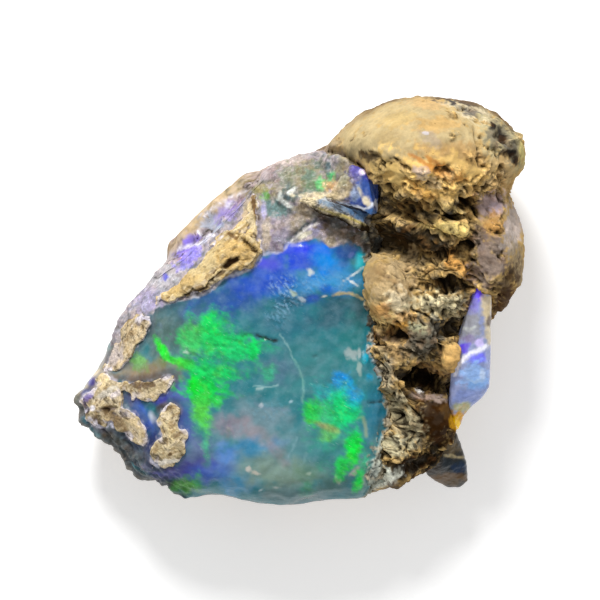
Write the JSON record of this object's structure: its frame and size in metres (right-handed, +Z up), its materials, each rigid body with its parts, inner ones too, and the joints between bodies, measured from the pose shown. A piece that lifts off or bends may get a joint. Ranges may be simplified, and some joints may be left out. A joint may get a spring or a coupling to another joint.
{
  "type": "rough boulder opal",
  "caption": "Rough nodule of precious opal in tan host rock, lying on its flat broken back with the opal face up and a rounded knob of rock beside it.",
  "frame": {"origin": "middle of the stone's outline at the surface that it lies on", "axes": "+Z up out of the opal face, +Y towards the knob of host rock, +X along the longest way across, away from the pointed nose"},
  "size_m": [0.0451, 0.0411, 0.0226],
  "materials": {
    "host_rock": "rough, crumbly, matte",
    "opal": "glassy, with a play of colour",
    "clear_opal": "glassy, milky"
  },
  "bodies": {
    "root": {"host_rock": "host_rock", "opal_body": "opal", "crust_ridge": "host_rock", "crust_ledge": "host_rock", "crust_rim": "host_rock", "crust_nose": "host_rock", "crust_patch": "host_rock", "opal_shard": "clear_opal", "opal_blade": "clear_opal", "opal_tip": "clear_opal"}
  },
  "joints": []
}
